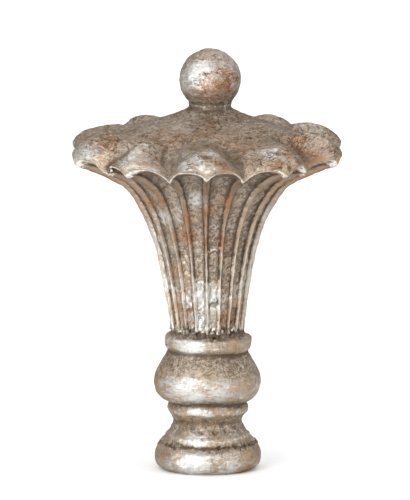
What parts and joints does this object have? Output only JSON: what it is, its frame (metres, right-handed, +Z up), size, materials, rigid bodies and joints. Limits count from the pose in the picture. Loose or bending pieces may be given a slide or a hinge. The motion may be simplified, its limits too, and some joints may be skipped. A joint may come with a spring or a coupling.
{
  "type": "lamp shade finial",
  "caption": "Ornamental lamp shade finial: turned base with a screw socket, fluted trumpet flaring into a lobed cap, and a ball on top.",
  "frame": {"origin": "middle of the flat underside, on the socket's axis", "axes": "+Z up along the turned axis, towards the ball; -Y is the side that shows a whole lobe of the cap"},
  "size_m": [0.048, 0.0498, 0.0756],
  "materials": {
    "silver_leaf": "antique champagne silver leaf over cast resin, umber and rust wash in the creases, crackled and pitted"
  },
  "bodies": {
    "root": {"finial": "silver_leaf"}
  },
  "joints": []
}
